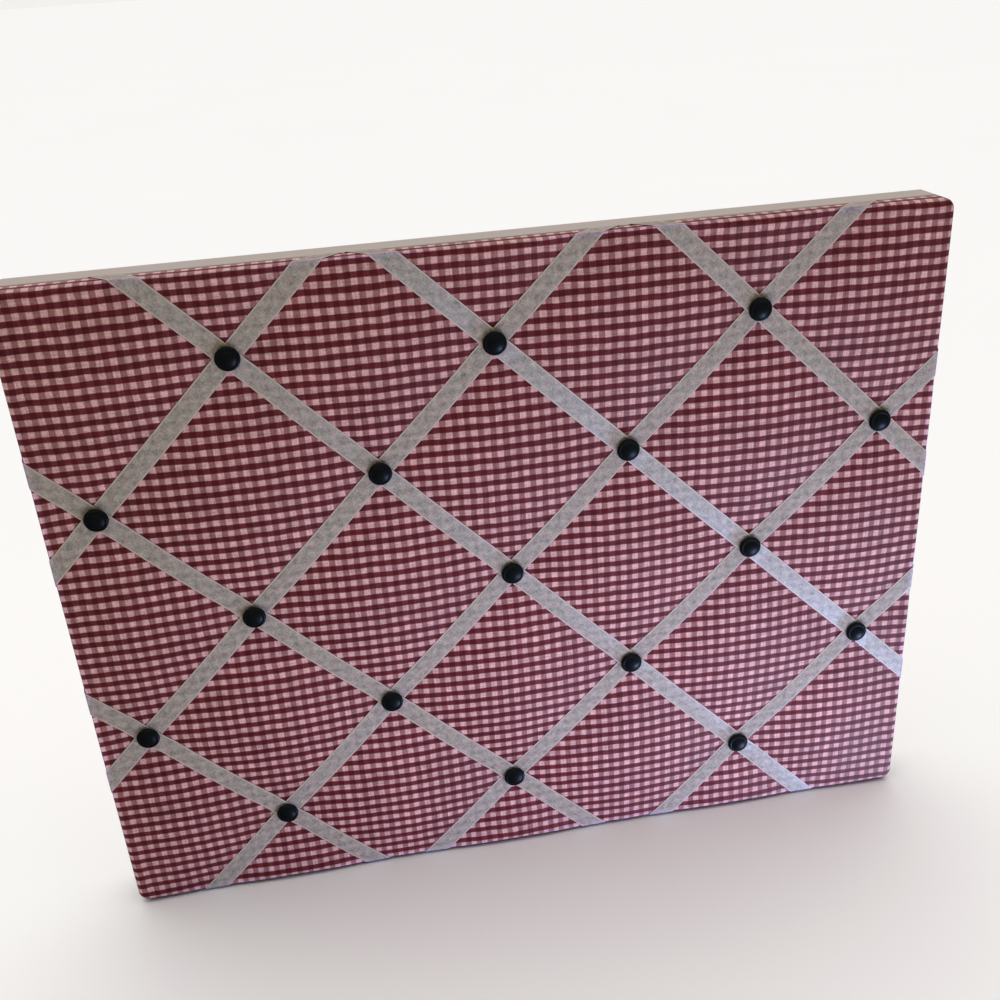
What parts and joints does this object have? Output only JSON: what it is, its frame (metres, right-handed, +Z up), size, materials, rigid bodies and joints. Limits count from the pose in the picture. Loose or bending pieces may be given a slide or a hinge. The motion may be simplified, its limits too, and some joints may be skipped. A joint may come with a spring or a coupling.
{
  "type": "french memo board",
  "caption": "Padded gingham memo board crossed by a lattice of ribbons with a round button at each crossing, on a pale wooden frame with two D-ring hangers.",
  "frame": {"origin": "centre of the board's outline on the plane of the frame rails' back faces, where the wall is", "axes": "+X to the right seen from the front, +Y towards the wall, +Z up; the padded front faces -Y"},
  "size_m": [0.4608, 0.0344, 0.3584],
  "materials": {
    "painted_wood": "matt stone-coloured paint",
    "hardboard": "smooth pressed board",
    "wadding": "soft fibre",
    "gingham": "red and white woven gingham",
    "ribbon": "pale woven ribbon with a soft sheen",
    "button": "black, softly glossy",
    "steel": "zinc plated"
  },
  "bodies": {
    "board": {"rail_top": "painted_wood", "rail_bottom": "painted_wood", "rail_left": "painted_wood", "rail_right": "painted_wood", "panel_board": "hardboard", "wadding": "wadding", "cover_fabric": "gingham", "ribbon_rising_1": "ribbon", "ribbon_rising_2": "ribbon", "ribbon_rising_3": "ribbon", "ribbon_rising_4": "ribbon", "ribbon_rising_5": "ribbon", "ribbon_falling_1": "ribbon", "ribbon_falling_2": "ribbon", "ribbon_falling_3": "ribbon", "ribbon_falling_4": "ribbon", "ribbon_falling_5": "ribbon", "button_01": "button", "button_02": "button", "button_03": "button", "button_04": "button", "button_05": "button", "button_06": "button", "button_07": "button", "button_08": "button", "button_09": "button", "button_10": "button", "button_11": "button", "button_12": "button", "button_13": "button", "button_14": "button", "button_15": "button", "button_16": "button", "button_17": "button", "button_pin_01": "steel", "button_pin_02": "steel", "button_pin_03": "steel", "button_pin_04": "steel", "button_pin_05": "steel", "button_pin_06": "steel", "button_pin_07": "steel", "button_pin_08": "steel", "button_pin_09": "steel", "button_pin_10": "steel", "button_pin_11": "steel", "button_pin_12": "steel", "button_pin_13": "steel", "button_pin_14": "steel", "button_pin_15": "steel", "button_pin_16": "steel", "button_pin_17": "steel", "hanger_strap_left": "steel", "hanger_strap_right": "steel", "hanger_screw_left": "steel", "hanger_screw_right": "steel"},
    "ring_left": {"hanger_ring_left": "steel"},
    "ring_right": {"hanger_ring_right": "steel"}
  },
  "joints": [
    {"name": "ring_left_swing", "type": "hinge", "parent": "board", "child": "ring_left", "pos_m": [-0.2186, 0.0023, 0.0978], "axis": [1, 0, 0], "range_deg": [0, 180]},
    {"name": "ring_right_swing", "type": "hinge", "parent": "board", "child": "ring_right", "pos_m": [0.2186, 0.0023, 0.0978], "axis": [1, 0, 0], "range_deg": [0, 180]}
  ]
}
